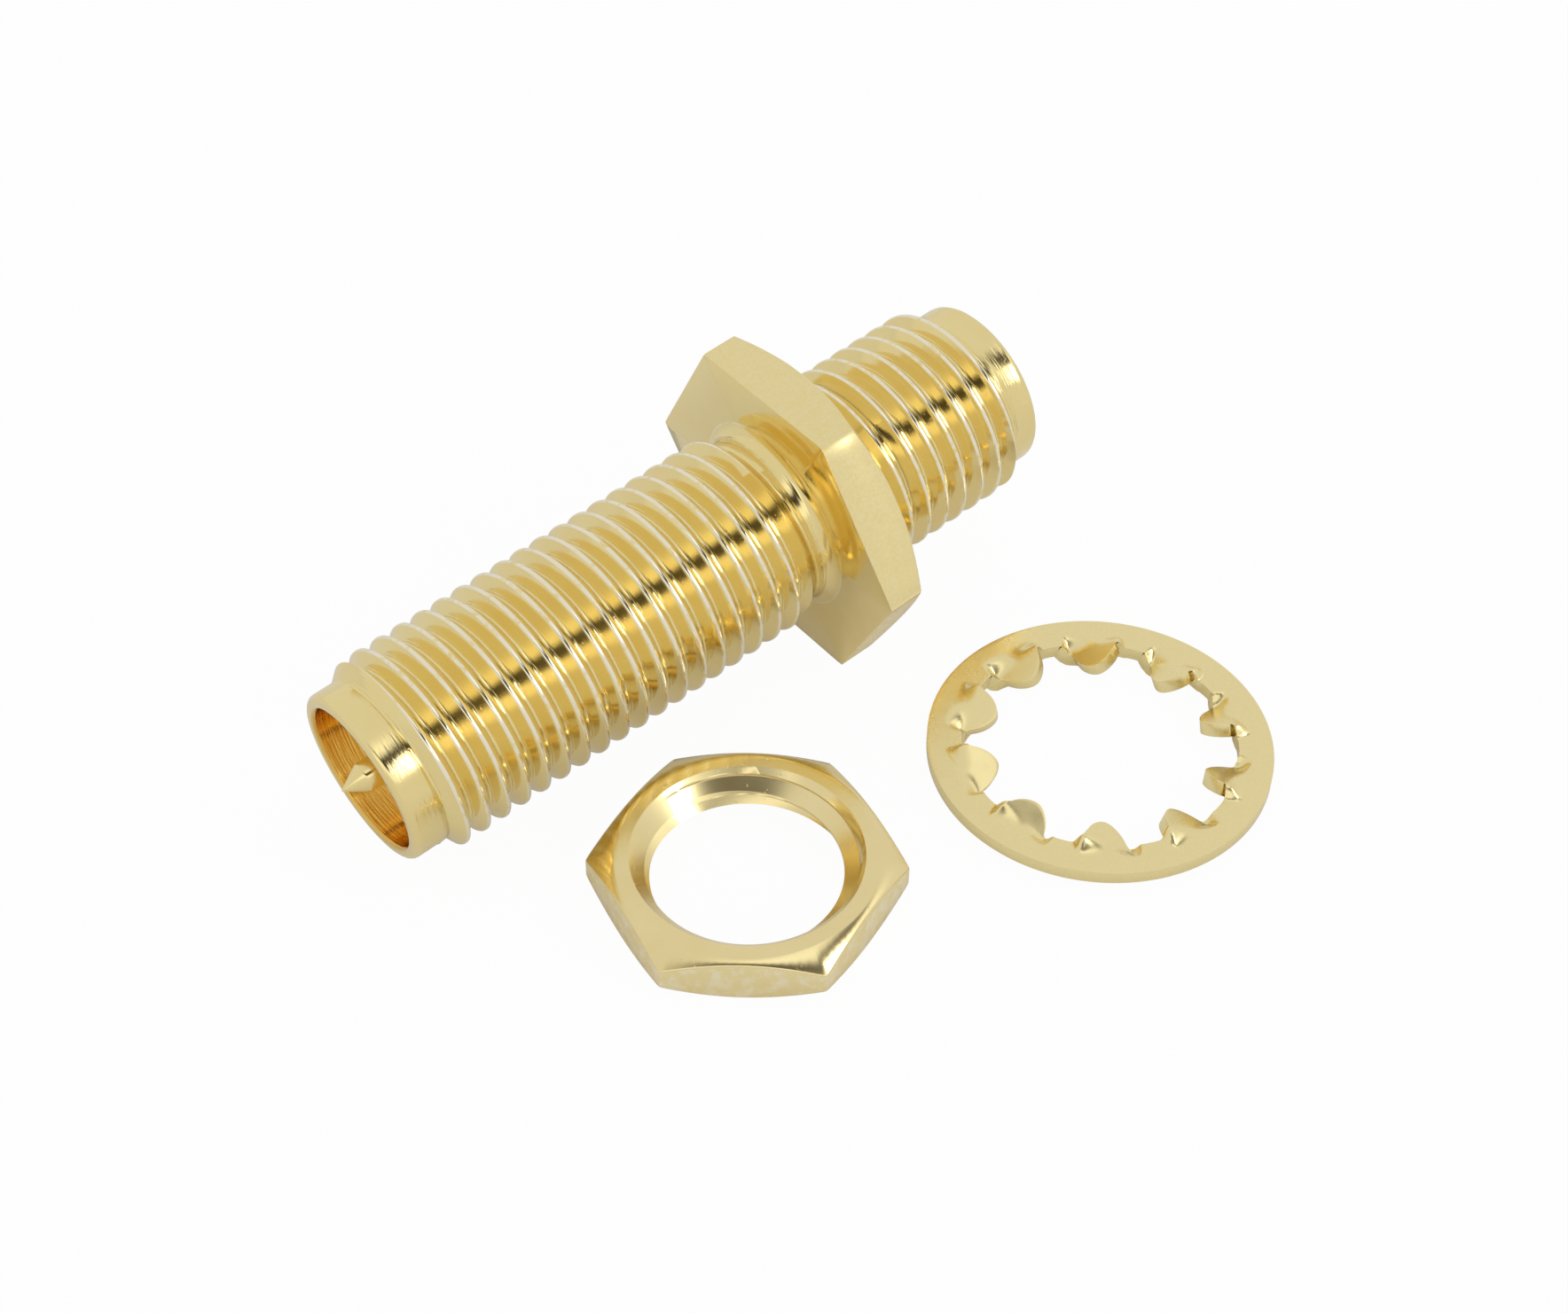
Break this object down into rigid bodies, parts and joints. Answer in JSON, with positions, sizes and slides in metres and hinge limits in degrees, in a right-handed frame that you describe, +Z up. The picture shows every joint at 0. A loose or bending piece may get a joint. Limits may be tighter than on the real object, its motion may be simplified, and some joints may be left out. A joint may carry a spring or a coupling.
{
  "type": "sma connector",
  "caption": "Coaxial bulkhead adapter: long and short threaded barrels on a thin hexagon flange, a pin in one mouth, a socket in the other, and its nut and tooth lock washer laid beside it.",
  "frame": {"origin": "middle of the whole set on the surface it lies on", "axes": "+X along the barrel from the long mouth to the short one, as seen from above; +Z up; the nut and the washer lie on the -Y side"},
  "size_m": [0.0248, 0.0212, 0.0096],
  "materials": {
    "gold_plate": "bright gold plating on turned brass",
    "contact_gold": "bright gold plating on the contact",
    "insulator": "matt off-white fluoropolymer",
    "nut_gold": "gold plating, bright faces and frosted flats",
    "washer_gold": "satin gold plating on stamped sheet"
  },
  "bodies": {
    "root": {"body": "gold_plate", "centre_contact": "contact_gold", "insulator_front": "insulator", "insulator_rear": "insulator", "hex_nut": "nut_gold", "lock_washer": "washer_gold"}
  },
  "joints": []
}
